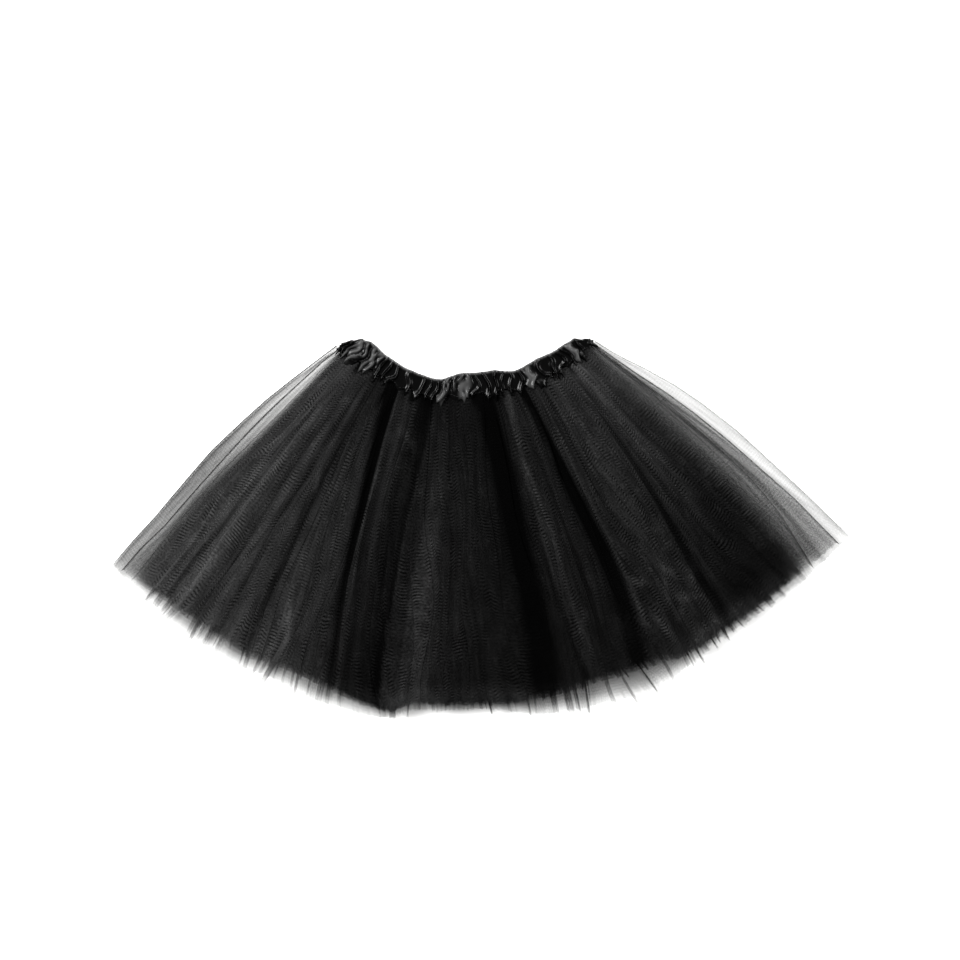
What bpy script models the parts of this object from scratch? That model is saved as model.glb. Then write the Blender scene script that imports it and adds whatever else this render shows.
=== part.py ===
"""A child's ballet tutu of three tulle plies on a gathered satin waistband, lying flat on its back.

The garment is laid out as a fan. Every place on it is an angle about the fan's apex, measured
from straight down the skirt with +X to the right, and a distance from that apex. Each tulle
ply is one tube of cloth: its back panel lies on the surface, its front panel lies on the back
one, and the two turn into each other at the side folds. The plies nest inside one another.

The tables and sizes are in millimetres and degrees, and the meshes are in metres.
"""

import math
from collections import namedtuple

import bpy

MM = 0.001

# Driving sizes
SKIRT_RADIUS = 438.0  # apex to a plain stretch of hem: 305 mm of skirt below the band's top
APEX_X, APEX_Y = -18.6, 266.6  # puts the middle of the whole garment at the origin
TULLE_WALL = 1.1
BAND_WALL = 4.1
SEAM_GAP = 0.5  # between the band's lower edge and the plies sewn to it
SIDE_FOLD_RADIUS = 0.75  # of a ply's middle line where its back panel turns into its front
PITCH_AT_SEAM = 1.5  # from one ply to the next, middle to middle
PITCH_AT_HEM = 2.4
SOONER = 0.35  # how much sooner a ply climbs for each further ply that lies inside it
BACK_FOLD_SHARE = 0.65  # a fold in the back panels against the same fold in the front ones
GATHER_DEPTH = 1.1
BAND_RIM_INSET = 1.1  # how far the casing rounds off towards its two edges
BAND_RIM_WIDTH = 3.5

# Distances down the skirt, from 0 at the seam to 1 at the hem
ROWS = (0.0, 0.1, 0.3, 0.55, 0.8, 1.0)
# Across one fold: where the cloth leaves the surface, and half the width of its rounded top
FOLD_FOOT = 0.1
FOLD_TOP_HALF = 0.13
FOLD_RUN = 0.4  # of the way down the skirt, over which a fold grows from its start to its full rise
# Places across one gather of the band, and how deep the satin dips there
GATHER_PROFILE = ((0.0, 1.0), (0.3, 0.0), (0.6, 0.0), (0.85, 0.45))

# The plies from the outside in: where their side folds lie at the seam, half way and the hem,
# and how much shorter than the outermost one each is cut.
Ply = namedtuple("Ply", "name left_seam left_mid left_hem right_seam right_mid right_hem short")
PLIES = (
    Ply("tulle_outer", -47.4, -48.8, -46.1, 51.0, 54.5, 51.8, 0.0),
    Ply("tulle_middle", -45.5, -46.4, -44.9, 48.9, 52.1, 50.2, 3.5),
    Ply("tulle_inner", -43.5, -44.5, -43.0, 46.8, 49.4, 46.6, 7.0),
)

# One row for each large fold, from left to right: the valley on its right at the seam and at
# the hem, how high it stands as a share of its width, where its top lies across it, how much
# of that height it already has at the seam, and the hem's distance from the apex at its right.
Fold = namedtuple("Fold", "seam_deg hem_deg rise top at_seam hem")
FIRST_VALLEY = Fold(-41.5, -40.6, 0.0, 0.5, 0.0, 433.0)
FOLDS = (
    Fold(-38.8, -38.2, 0.15, 0.55, 0.2, 435.0),
    Fold(-35.9, -33.4, 0.17, 0.45, 0.5, 436.0),
    Fold(-32.0, -30.6, 0.13, 0.56, 0.1, 435.0),
    Fold(-28.6, -26.4, 0.18, 0.50, 0.6, 436.0),
    Fold(-25.2, -20.8, 0.14, 0.44, 0.4, 436.0),
    Fold(-20.8, -15.2, 0.16, 0.56, 0.5, 439.0),
    Fold(-14.8, -8.9, 0.15, 0.57, 0.6, 442.5),
    Fold(-9.6, -5.2, 0.17, 0.45, 0.2, 435.0),
    Fold(-2.6, 3.0, 0.11, 0.44, 0.5, 432.5),
    Fold(4.8, 6.6, 0.14, 0.55, 0.1, 436.0),
    Fold(11.9, 11.2, 0.15, 0.44, 0.6, 439.0),
    Fold(17.0, 16.8, 0.19, 0.55, 0.7, 443.5),
    Fold(22.6, 22.8, 0.17, 0.56, 0.6, 448.0),
    Fold(27.4, 28.9, 0.13, 0.44, 0.2, 443.0),
    Fold(33.0, 33.6, 0.17, 0.52, 0.4, 437.0),
    Fold(37.6, 38.6, 0.14, 0.56, 0.3, 436.5),
    Fold(41.2, 42.0, 0.17, 0.45, 0.5, 437.0),
    Fold(44.6, 45.2, 0.12, 0.55, 0.1, 439.0),
)
HEM_AT_SIDES = (432.0, 443.5)  # at the left and right side folds

# The band's upper edge and lower edge, as distances from the apex
Edge = namedtuple("Edge", "deg top bottom")
BAND_EDGES = (
    Edge(-46.2, 146.0, 154.5),
    Edge(-44.6, 138.5, 154.0),
    Edge(-42.0, 131.5, 153.3),
    Edge(-38.0, 128.5, 152.5),
    Edge(-30.0, 131.0, 151.5),
    Edge(-20.0, 133.5, 153.5),
    Edge(-9.0, 135.5, 154.0),
    Edge(1.0, 128.5, 150.5),
    Edge(12.0, 129.0, 151.5),
    Edge(22.0, 135.5, 154.5),
    Edge(30.0, 134.5, 156.0),
    Edge(40.0, 138.0, 157.5),
    Edge(46.0, 140.5, 158.3),
    Edge(48.6, 147.5, 159.3),
    Edge(50.0, 151.5, 159.8),
)
BAND_LEFT, BAND_RIGHT = BAND_EDGES[0].deg, BAND_EDGES[-1].deg

# Gathers along the band: their usual widths in turn, and the broad smooth ones between them
GATHER_WIDTHS = (4.8, 6.2, 5.0, 5.8, 7.0, 4.6, 5.6)
Patch = namedtuple("Patch", "deg width")
SMOOTH_PATCHES = (Patch(-41.0, 15.0), Patch(-34.0, 15.0), Patch(-1.0, 12.0), Patch(25.5, 11.0))

Finish = namedtuple("Finish", "colour roughness")
TULLE_FINISH = Finish((0.012, 0.012, 0.013, 1.0), 0.8)
SATIN_FINISH = Finish((0.02, 0.02, 0.022, 1.0), 0.35)


def mix(a, b, share):
    return a + (b - a) * share


def ease(share):
    """0 to 1 with level ends, for a share clamped to that range."""
    share = min(1.0, max(0.0, share))
    return share * share * (3.0 - 2.0 * share)


def read_table(rows, place, value, at):
    """The value column of a table at a place between two rows, eased from row to row."""
    for low, high in zip(rows, rows[1:]):
        if at <= getattr(high, place):
            share = (at - getattr(low, place)) / (getattr(high, place) - getattr(low, place))
            return mix(getattr(low, value), getattr(high, value), ease(share))
    return getattr(rows[-1], value)


def band_top(deg):
    return read_table(BAND_EDGES, "deg", "top", deg)


def band_bottom(deg):
    return read_table(BAND_EDGES, "deg", "bottom", deg)


def valley(fold, down):
    """The angle of the valley on a fold's right, at a share of the way down the skirt."""
    return mix(fold.seam_deg, fold.hem_deg, down)


def side_angles(ply, down):
    """Where a ply's two side folds lie: a curve through its seam, middle and hem."""

    def bow(seam, mid, hem):
        return mix(seam, hem, down) + (mid - (seam + hem) / 2) * 4 * down * (1 - down)

    return (
        bow(ply.left_seam, ply.left_mid, ply.left_hem),
        bow(ply.right_seam, ply.right_mid, ply.right_hem),
    )


def hem_radius(deg):
    """The hem's distance from the apex, read from the folds and the two sides."""
    outer = PLIES[0]
    rows = [
        FIRST_VALLEY._replace(hem_deg=outer.left_hem, hem=HEM_AT_SIDES[0]),
        FIRST_VALLEY,
        *FOLDS,
        FOLDS[-1]._replace(hem_deg=outer.right_hem, hem=HEM_AT_SIDES[1]),
    ]
    return read_table(rows, "hem_deg", "hem", deg)


def row_radius(down):
    """The usual distance from the apex of one row of the skirt."""
    return mix(band_bottom(0.0), SKIRT_RADIUS, down)


def side_turn(down):
    """The angle over which a side fold rounds over, at one row."""
    return math.degrees(SIDE_FOLD_RADIUS / row_radius(down))


def fold_stations(down):
    """(angle, height) at each place where the large folds bend, from left to right."""
    stations = [(valley(FIRST_VALLEY, down), 0.0)]
    for before, fold in zip((FIRST_VALLEY, *FOLDS), FOLDS):
        left, right = valley(before, down), valley(fold, down)
        width = math.radians(right - left) * row_radius(down)
        rise = fold.rise * width * mix(fold.at_seam, 1.0, ease(down / FOLD_RUN))
        stations += [
            (mix(left, right, FOLD_FOOT), 0.0),
            (mix(left, right, fold.top - FOLD_TOP_HALF), rise),
            (mix(left, right, fold.top + FOLD_TOP_HALF), rise),
            (mix(left, right, 1 - FOLD_FOOT), 0.0),
        ]
    return stations + [(valley(FOLDS[-1], down), 0.0)]


def side_stations(down):
    """Angles outside the folds at which some ply has its side fold, and those half way between."""
    lefts = [side_angles(ply, down)[0] for ply in PLIES]
    rights = [side_angles(ply, down)[1] for ply in PLIES]
    left, right = [lefts[0]], [rights[0]]
    for outside, inside in zip(lefts, lefts[1:]):
        left += [mix(outside, inside, 0.5), inside]
    for outside, inside in zip(rights, rights[1:]):
        right += [mix(outside, inside, 0.5), inside]
    return [(deg, 0.0) for deg in left], [(deg, 0.0) for deg in reversed(right)]


def plies_between(index, deg, down):
    """How many plies lie inside ply index at this angle, rising smoothly before each one.

    It rises sooner for a ply that lies further in, which keeps the steep walls there apart.
    """
    inside = 0.0
    for step, (outer, inner) in enumerate(zip(PLIES[index:], PLIES[index + 1 :])):
        outer_left, outer_right = side_angles(outer, down)
        inner_left, inner_right = side_angles(inner, down)
        outer_left += side_turn(down)
        outer_right -= side_turn(down)
        share = min(
            (deg - outer_left) / (inner_left - outer_left),
            (outer_right - deg) / (outer_right - inner_right),
        )
        share *= 1.0 + SOONER * step
        inside += math.sin(min(1.0, max(0.0, share)) * math.pi / 2)
    return inside


def ply_loop(index, down):
    """A ply's middle line at one row, as (angle, height): back panel, side fold, front, side fold."""
    ply = PLIES[index]
    left, right = side_angles(ply, down)
    pitch = mix(PITCH_AT_SEAM, PITCH_AT_HEM, ease(down * 1.6))
    turn = side_turn(down)
    floor = TULLE_WALL / 2 + index * pitch
    left_side, right_side = side_stations(down)
    tiny = 1e-6
    stations = [
        (deg, height)
        for deg, height in (*left_side, *fold_stations(down), *right_side)
        if left + tiny < deg < right - tiny
    ]
    stations = [(left + turn, 0.0), *stations, (right - turn, 0.0)]
    back = [(deg, floor + height * BACK_FOLD_SHARE) for deg, height in stations]
    front = []
    for deg, height in stations:
        stacked = 2 * pitch * plies_between(index, deg, down)
        front.append((deg, floor + 2 * SIDE_FOLD_RADIUS + stacked + height))
    tip = floor + SIDE_FOLD_RADIUS
    return [*back, (right, tip), *reversed(front), (left, tip)]


def offset_loop(loop, radius, distance):
    """A closed loop of (angle, height) moved outwards by a distance, with mitred corners.

    The loop runs anticlockwise seen from the seam towards the hem: right along the back.
    """
    points = [(math.radians(deg) * radius, height) for deg, height in loop]
    moved = []
    for i, (along, height) in enumerate(points):
        before, after = points[i - 1], points[(i + 1) % len(points)]
        normals = []
        for start, end in ((before, (along, height)), ((along, height), after)):
            run, climb = end[0] - start[0], end[1] - start[1]
            length = math.hypot(run, climb)
            normals.append((climb / length, -run / length))
        across = (normals[0][0] + normals[1][0], normals[0][1] + normals[1][1])
        length = math.hypot(*across)
        across = (across[0] / length, across[1] / length)
        mitre = distance / max(0.6, across[0] * normals[0][0] + across[1] * normals[0][1])
        moved.append((math.degrees((along + across[0] * mitre) / radius), height + across[1] * mitre))
    return moved


def place(deg, radius, height):
    """A point of the fan, in metres."""
    turn = math.radians(deg)
    x = APEX_X + radius * math.sin(turn)
    y = APEX_Y - radius * math.cos(turn)
    return (x * MM, y * MM, height * MM)


def tube_mesh(name, outside, inside):
    """A closed wall from rings of points down its outside and its inside, first ring at the top.

    Every face is cut along the same diagonal, so that walls which follow each other stay apart.
    """
    count = len(outside[0])
    points = [point for ring in (*outside, *inside) for point in ring]
    inner = len(outside)
    faces = []

    def join(upper, lower, turned):
        """Two triangles for each place between two rings, facing out, or in where turned."""
        for i in range(count):
            beside = (i + 1) % count
            corners = (upper * count + i, upper * count + beside)
            corners += (lower * count + beside, lower * count + i)
            for a, b, c in ((0, 1, 2), (0, 2, 3)):
                face = (corners[a], corners[b], corners[c])
                faces.append(face[::-1] if turned else face)

    for row in range(len(outside) - 1):
        join(row, row + 1, False)
    for row in range(len(inside) - 1):
        join(inner + row, inner + row + 1, True)
    join(0, inner, True)
    join(inner - 1, inner + len(inside) - 1, False)
    mesh = bpy.data.meshes.new(name)
    mesh.from_pydata(points, [], faces)
    mesh.validate()
    return mesh


def tulle_ply(index):
    """One ply of tulle, from the seam under the waistband to its hem."""
    ply = PLIES[index]
    outside, inside = [], []
    for down in ROWS:
        loop = ply_loop(index, down)
        for rings, distance in ((outside, TULLE_WALL / 2), (inside, -TULLE_WALL / 2)):
            ring = []
            for deg, height in offset_loop(loop, row_radius(down), distance):
                seam = band_bottom(min(BAND_RIGHT, max(BAND_LEFT, deg))) + SEAM_GAP
                hem = hem_radius(deg) - ply.short
                ring.append(place(deg, mix(seam, hem, down), height))
            rings.append(ring)
    return tube_mesh(ply.name, outside, inside)


def gather_stations():
    """(angle, dip) along the band from left to right, the dips in millimetres."""
    stations = []
    deg = BAND_LEFT + 1.2
    index = 0
    radius = (band_top(0.0) + band_bottom(0.0)) / 2
    while deg < BAND_RIGHT - 3.2:
        width = math.degrees(GATHER_WIDTHS[index % len(GATHER_WIDTHS)] / radius)
        for patch in SMOOTH_PATCHES:
            if abs(deg + width / 2 - patch.deg) < width / 2:
                width = math.degrees(patch.width / radius)
        stations += [(deg + width * at, GATHER_DEPTH * dip) for at, dip in GATHER_PROFILE]
        deg += width
        index += 1
    return stations


def waistband():
    """The gathered satin casing: a flat ring whose outer face dips at every gather."""
    stations = gather_stations()
    half = BAND_WALL / 2
    turn_radius = half + 0.2
    radius = (band_top(0.0) + band_bottom(0.0)) / 2
    turn = math.degrees(turn_radius / radius)
    stations = [(BAND_LEFT + turn, 0.0), *stations, (BAND_RIGHT - turn, 0.0)]
    back = [(deg, half) for deg, _ in stations]
    front = [(deg, half + 2 * turn_radius) for deg, _ in reversed(stations)]
    loop = [*back, (BAND_RIGHT, half + turn_radius), *front, (BAND_LEFT, half + turn_radius)]
    dips = [dip for _, dip in stations]
    dips = [*dips, 0.0, *reversed(dips), 0.0]
    full = offset_loop(loop, radius, half)
    inner = offset_loop(loop, radius, -half)

    def ring(share, points, inset=0.0, dipped=0.0):
        """One ring of the band at a share of its height, its outer points drawn in."""
        made = []
        for (deg, height), (mid_deg, mid), dip in zip(points, loop, dips):
            drawn = min(1.0, (inset + dipped * dip) / half)
            deg, height = mix(deg, mid_deg, drawn), mix(height, mid, drawn)
            edge = min(BAND_RIGHT, max(BAND_LEFT, deg))
            made.append(place(deg, mix(band_top(edge), band_bottom(edge), share), height))
        return made

    rim = BAND_RIM_WIDTH / (band_bottom(0.0) - band_top(0.0))
    outside = [
        ring(0.0, full, BAND_RIM_INSET, 0.6),
        ring(rim, full, 0.0, 1.0),
        ring(1 - rim, full, 0.0, 1.0),
        ring(1.0, full, BAND_RIM_INSET / 2, 0.8),
    ]
    return tube_mesh("waistband", outside, [ring(0.0, inner), ring(1.0, inner)])


def material(name, finish):
    made = bpy.data.materials.new(name)
    made.use_nodes = True
    shader = made.node_tree.nodes["Principled BSDF"]
    shader.inputs["Base Color"].default_value = finish.colour
    shader.inputs["Roughness"].default_value = finish.roughness
    shader.inputs["Metallic"].default_value = 0.0
    return made


def add_piece(mesh, finish):
    piece = bpy.data.objects.new(mesh.name, mesh)
    bpy.context.scene.collection.objects.link(piece)
    mesh.materials.append(material(mesh.name, finish))
    return piece


def main():
    for old in list(bpy.data.objects):
        bpy.data.objects.remove(old, do_unlink=True)
    add_piece(waistband(), SATIN_FINISH)
    for index in range(len(PLIES)):
        add_piece(tulle_ply(index), TULLE_FINISH)


main()
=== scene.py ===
"""A child's black ballet tutu: three plies of nylon tulle on a gathered satin waistband, laid flat.

The garment is a fan. A place on it is an angle about the fan's apex, in degrees from straight
down the skirt with +X to the right, and a distance from that apex. Sizes are in millimetres
until a mesh is made, which is in metres.
"""

import math
from collections import namedtuple

import bpy
import numpy as np
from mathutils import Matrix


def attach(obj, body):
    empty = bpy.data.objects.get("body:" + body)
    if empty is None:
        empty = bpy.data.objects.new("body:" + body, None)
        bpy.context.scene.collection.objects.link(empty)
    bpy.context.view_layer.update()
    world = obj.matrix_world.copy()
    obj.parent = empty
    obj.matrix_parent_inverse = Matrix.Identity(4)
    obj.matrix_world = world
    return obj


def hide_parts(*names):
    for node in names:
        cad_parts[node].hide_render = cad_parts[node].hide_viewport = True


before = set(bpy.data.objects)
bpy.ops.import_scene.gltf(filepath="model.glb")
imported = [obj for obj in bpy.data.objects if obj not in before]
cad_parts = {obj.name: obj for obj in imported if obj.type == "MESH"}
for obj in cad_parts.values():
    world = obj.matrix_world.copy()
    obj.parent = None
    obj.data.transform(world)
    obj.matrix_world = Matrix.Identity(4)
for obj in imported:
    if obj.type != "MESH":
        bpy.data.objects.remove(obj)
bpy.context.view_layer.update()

MM = 0.001

# ---------------------------------------------------------------- the fan, as the frame has it

APEX_X, APEX_Y = -18.6, 266.6
SKIRT_RADIUS = 438.0  # from the apex to a plain stretch of hem
TULLE_WALL = 1.1
BAND_WALL = 4.1
BAND_TURN_RADIUS = BAND_WALL / 2 + 0.2  # where the band turns from its front to its back
SIDE_FOLD_RADIUS = 0.75  # where a ply turns from its front to its back
PITCH_AT_SEAM = 1.5  # from one ply to the next
PITCH_AT_HEM = 2.4
PITCH_GROWTH = 1.6  # how much sooner than at the hem the plies lie that far apart
SOONER = 0.35  # how much sooner a ply climbs for each further ply that lies inside it
BACK_FOLD_SHARE = 0.65  # how high the back's folds are against the front's
FOLD_RUN = 0.4  # of the way down the skirt, over which a fold grows to its full rise
CREST_ROUND = 1.5  # above 1, a fold runs out level into the valleys beside it

# Each ply: how far it hangs short of the outer one where the plies lie close, how much of what
# the outer one hangs loose comes on top, how much the thread covers on the lines of its side
# folds, and over how many degrees it thins out towards them.
Ply = namedtuple("Ply", "name short loose left_line right_line left_thin right_thin")
PLIES = (
    Ply("tulle_outer", 0.0, 0.0, 0.95, 0.55, 0.3, 0.3),
    Ply("tulle_middle", 2.0, 0.8, 0.85, 0.7, 0.3, 0.5),
    Ply("tulle_inner", 3.5, 1.0, 0.35, 0.45, 2.2, 4.6),
)

# The plies' side folds, in degrees, from the seam to the hem.
Side = namedtuple(
    "Side", "radius outer_left middle_left inner_left inner_right middle_right outer_right"
)
SIDES = (
    Side(151.0, -47.2, -45.9, -44.6, 49.0, 49.9, 50.8),
    Side(170.0, -47.9, -46.6, -45.0, 49.5, 50.4, 51.6),
    Side(200.0, -48.6, -46.7, -44.9, 50.0, 51.1, 53.3),
    Side(230.0, -49.0, -46.8, -44.8, 50.3, 51.9, 54.3),
    Side(260.0, -48.9, -46.6, -44.8, 50.2, 52.1, 54.5),
    Side(300.0, -48.6, -46.1, -44.8, 49.9, 52.0, 54.2),
    Side(340.0, -47.7, -45.6, -44.4, 49.5, 51.6, 53.4),
    Side(380.0, -46.9, -45.1, -43.9, 48.5, 51.3, 52.8),
    Side(410.0, -46.6, -45.2, -43.5, 47.3, 50.8, 52.3),
    Side(438.0, -46.2, -44.9, -43.2, 46.3, 50.4, 51.9),
)

# Each large fold: the valley on its right at the seam and the hem, its height as a share of
# its width, where its top lies across it, its share of that height at the seam, and how far
# from the apex the hem is at that valley.
Fold = namedtuple("Fold", "seam_deg hem_deg rise top at_seam hem")
FIRST_VALLEY = Fold(-41.5, -40.6, 0.0, 0.5, 0.0, 433.0)
FOLDS = (
    Fold(-38.8, -38.2, 0.15, 0.55, 0.2, 435.0),
    Fold(-35.9, -33.4, 0.17, 0.45, 0.5, 436.0),
    Fold(-32.0, -30.6, 0.13, 0.56, 0.1, 435.0),
    Fold(-28.6, -26.4, 0.18, 0.50, 0.6, 436.0),
    Fold(-25.2, -20.8, 0.14, 0.44, 0.4, 436.0),
    Fold(-20.8, -15.2, 0.16, 0.56, 0.5, 439.0),
    Fold(-14.8, -8.9, 0.15, 0.57, 0.6, 442.5),
    Fold(-9.6, -5.2, 0.17, 0.45, 0.2, 435.0),
    Fold(-2.6, 3.0, 0.11, 0.44, 0.5, 432.5),
    Fold(4.8, 6.6, 0.14, 0.55, 0.1, 436.0),
    Fold(11.9, 11.2, 0.15, 0.44, 0.6, 439.0),
    Fold(17.0, 16.8, 0.19, 0.55, 0.7, 443.5),
    Fold(22.6, 22.8, 0.17, 0.56, 0.6, 448.0),
    Fold(27.4, 28.9, 0.13, 0.44, 0.2, 443.0),
    Fold(33.0, 33.6, 0.17, 0.52, 0.4, 437.0),
    Fold(37.6, 38.6, 0.14, 0.56, 0.3, 436.5),
    Fold(41.2, 42.0, 0.17, 0.45, 0.5, 437.0),
    Fold(44.6, 45.2, 0.12, 0.55, 0.1, 439.0),
)
HEM_AT_SIDES = (432.0, 443.5)

# The band's top and bottom edges, as distances from the apex.
Edge = namedtuple("Edge", "deg top bottom")
BAND_EDGES = (
    Edge(-46.2, 146.0, 154.5),
    Edge(-44.6, 138.5, 154.0),
    Edge(-42.0, 131.5, 153.3),
    Edge(-38.0, 128.5, 152.5),
    Edge(-30.0, 131.0, 151.5),
    Edge(-20.0, 133.5, 153.5),
    Edge(-9.0, 135.5, 154.0),
    Edge(1.0, 128.5, 150.5),
    Edge(12.0, 129.0, 151.5),
    Edge(22.0, 135.5, 154.5),
    Edge(30.0, 134.5, 156.0),
    Edge(40.0, 138.0, 157.5),
    Edge(46.0, 140.5, 158.3),
    Edge(48.6, 147.5, 159.3),
    Edge(50.0, 151.5, 159.8),
)
BAND_LEFT, BAND_RIGHT = BAND_EDGES[0].deg, BAND_EDGES[-1].deg
TUCKED_IN = 3.0  # how far the plies reach up into the band
BAND_MIDDLE = BAND_WALL + 0.2  # the height at which they do
# How closely the band presses them together, and over how much of the skirt they spread again.
PRESSED, PRESSED_OVER = 0.3, 0.07

# ---------------------------------------------------------------- the tulle's own creases

# The main creases: where each lies, its half width in degrees and its depth (below 0 for a
# ridge) at the seam, half way and the hem, and the side on which it has a sharp edge (1 is
# the right, -1 the left and 0 neither).
Crease = namedtuple(
    "Crease", "seam mid hem wide_seam wide_mid wide_hem deep_seam deep_mid deep_hem sharp"
)
CREASES = (
    Crease(-40.6, -40.2, -39.8, 0.4, 0.4, 0.4, 0.2, 0.2, 0.3, 0),
    Crease(-37.2, -36.4, -37.6, 0.5, 0.5, 0.4, 0.3, 0.2, 0.2, 1),
    Crease(-35.2, -34.8, -33.4, 0.4, 0.5, 0.4, 0.2, 0.3, 0.25, -1),
    Crease(-32.0, -31.2, -30.6, 0.5, 0.6, 0.5, 0.2, 0.2, 0.25, 1),
    Crease(-29.0, -28.3, -26.3, 0.8, 1.3, 0.5, 0.1, 0.5, 0.4, 1),
    Crease(-21.7, -18.5, -15.3, 3.7, 1.1, 0.9, 1.0, 0.95, 0.6, 1),
    Crease(-18.6, -17.3, -14.0, 0.6, 1.3, 1.0, 0.1, 0.65, 0.3, -1),
    Crease(-11.0, -13.2, -12.8, 2.4, 1.8, 2.4, 1.0, 0.4, 0.8, 0),
    Crease(-8.2, -10.6, -9.4, 1.0, 0.85, 0.95, 0.6, 0.8, 0.95, 1),
    Crease(-1.8, -1.8, -1.8, 0.3, 0.3, 2.6, 0.0, 0.0, 0.6, 0),
    Crease(-3.2, -1.6, -1.2, 0.4, 0.3, 0.35, 0.35, 0.2, 0.4, 0),
    Crease(1.6, 1.2, 1.6, 0.4, 0.4, 2.6, 0.1, 0.2, 0.4, 0),
    Crease(4.9, 4.9, 6.4, 0.4, 0.4, 0.5, 0.2, 0.4, 0.45, 1),
    Crease(8.2, 10.8, 10.4, 3.4, 1.9, 1.8, 1.0, 1.0, 0.8, 0),
    Crease(14.2, 14.6, 16.0, 0.35, 0.35, 0.4, 0.4, 0.4, 0.4, 0),
    Crease(19.3, 19.5, 19.4, 0.4, 0.5, 0.5, 0.1, 0.5, 0.3, 1),
    Crease(21.3, 23.7, 22.1, 0.9, 1.3, 0.9, 1.0, 1.0, 0.7, 0),
    Crease(27.4, 28.2, 28.9, 0.5, 0.4, 0.5, 0.4, 0.2, 0.35, 0),
    Crease(32.6, 33.2, 31.6, 0.4, 0.4, 0.8, 0.2, 0.2, 0.4, 1),
    Crease(38.6, 35.6, 33.8, 0.5, 0.9, 0.9, 0.1, 0.8, 0.6, -1),
    Crease(38.2, 38.0, 38.6, 0.4, 0.5, 1.5, 0.2, 0.2, 0.4, 0),
    Crease(42.6, 43.4, 42.2, 0.5, 2.4, 2.8, 0.1, 0.6, 0.45, 0),
    Crease(-46.4, -47.9, -45.9, 0.25, 0.3, 0.3, 0.4, 0.3, 0.2, 0),
    Crease(49.2, 51.2, 51.7, 0.2, 0.2, 0.2, 0.5, 0.3, 0.1, 0),
    Crease(50.4, 53.4, 51.9, 0.25, 0.25, 0.25, 0.3, 0.12, 0.1, 0),
    Crease(49.7, 50.4, 49.6, 0.2, 0.25, 0.2, 0.4, 0.2, 0.0, 1),
    Crease(48.9, 48.6, 47.0, 0.2, 0.25, 0.2, 0.25, 0.25, 0.2, -1),
    Crease(-38.6, -38.6, -36.0, 0.9, 0.9, 0.9, -0.1, -0.3, -0.2, 0),
    Crease(-33.2, -33.0, -32.2, 0.7, 0.7, 0.8, -0.2, -0.2, -0.2, 0),
    Crease(-25.6, -24.6, -23.2, 1.0, 1.2, 1.2, -0.1, -0.3, -0.8, 0),
    Crease(-21.0, -17.9, -14.6, 0.5, 0.4, 0.4, -0.5, -0.25, -0.2, -1),
    Crease(-5.0, -6.8, -7.4, 2.6, 2.8, 1.8, -0.1, -0.9, -0.3, -1),
    Crease(0.5, 0.8, 0.4, 2.4, 2.6, 2.0, -0.1, -0.2, 0.1, 0),
    Crease(15.6, 15.8, 17.4, 1.2, 1.1, 0.7, -1.6, -1.4, -0.3, 0),
    Crease(25.3, 25.4, 24.2, 0.6, 0.5, 0.5, -0.2, -1.0, -0.3, -1),
    Crease(30.4, 30.2, 30.8, 2.6, 2.2, 1.4, -0.4, -0.4, -0.5, 0),
    Crease(41.0, 40.4, 36.4, 2.6, 1.6, 1.2, -0.7, -0.2, -0.1, 0),
    Crease(45.6, 46.6, 45.4, 1.0, 1.0, 1.0, -0.2, -0.3, -0.2, 0),
)
CREASE_DROP = 2.2  # how far the net drops into the deepest crease
RIDGE_RISE = 1.4  # how far it stands up in a ridge of depth -1
DEEPEST = -0.6  # how far below the plain panel the net may drop
SHARP = 5.0  # how much steeper a crease's sharp side is
NARROWEST = 0.2  # half the width of the narrowest crease, in degrees
CREASE_SWAY, CREASE_BENDS = 0.18, 11.0  # how far and how often a crease leaves its line

# Where the gathers suck the net in right below the casing, and it is painted dark there as painted shade:
# half width in degrees, length down.
Dip = namedtuple("Dip", "deg wide long")
DIPS = (
    Dip(-40.4, 0.5, 9.0),
    Dip(-36.7, 0.8, 14.0),
    Dip(-31.0, 0.4, 10.0),
    Dip(-24.6, 1.0, 34.0),
    Dip(-19.0, 1.2, 9.0),
    Dip(-16.2, 0.9, 14.0),
    Dip(-13.6, 1.3, 12.0),
    Dip(-10.4, 1.7, 22.0),
    Dip(-4.4, 0.5, 6.0),
    Dip(5.0, 1.1, 14.0),
    Dip(7.6, 1.6, 26.0),
    Dip(12.8, 0.7, 14.0),
    Dip(18.2, 0.5, 10.0),
    Dip(20.9, 0.9, 24.0),
    Dip(24.0, 0.5, 8.0),
    Dip(28.2, 1.5, 8.0),
    Dip(33.5, 1.7, 7.0),
    Dip(38.4, 0.5, 12.0),
    Dip(42.5, 0.6, 9.0),
)
DIP_KEEPS, DIP_FADES = 0.4, 0.8  # of its length, over which a dip keeps its depth and then fades

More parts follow.
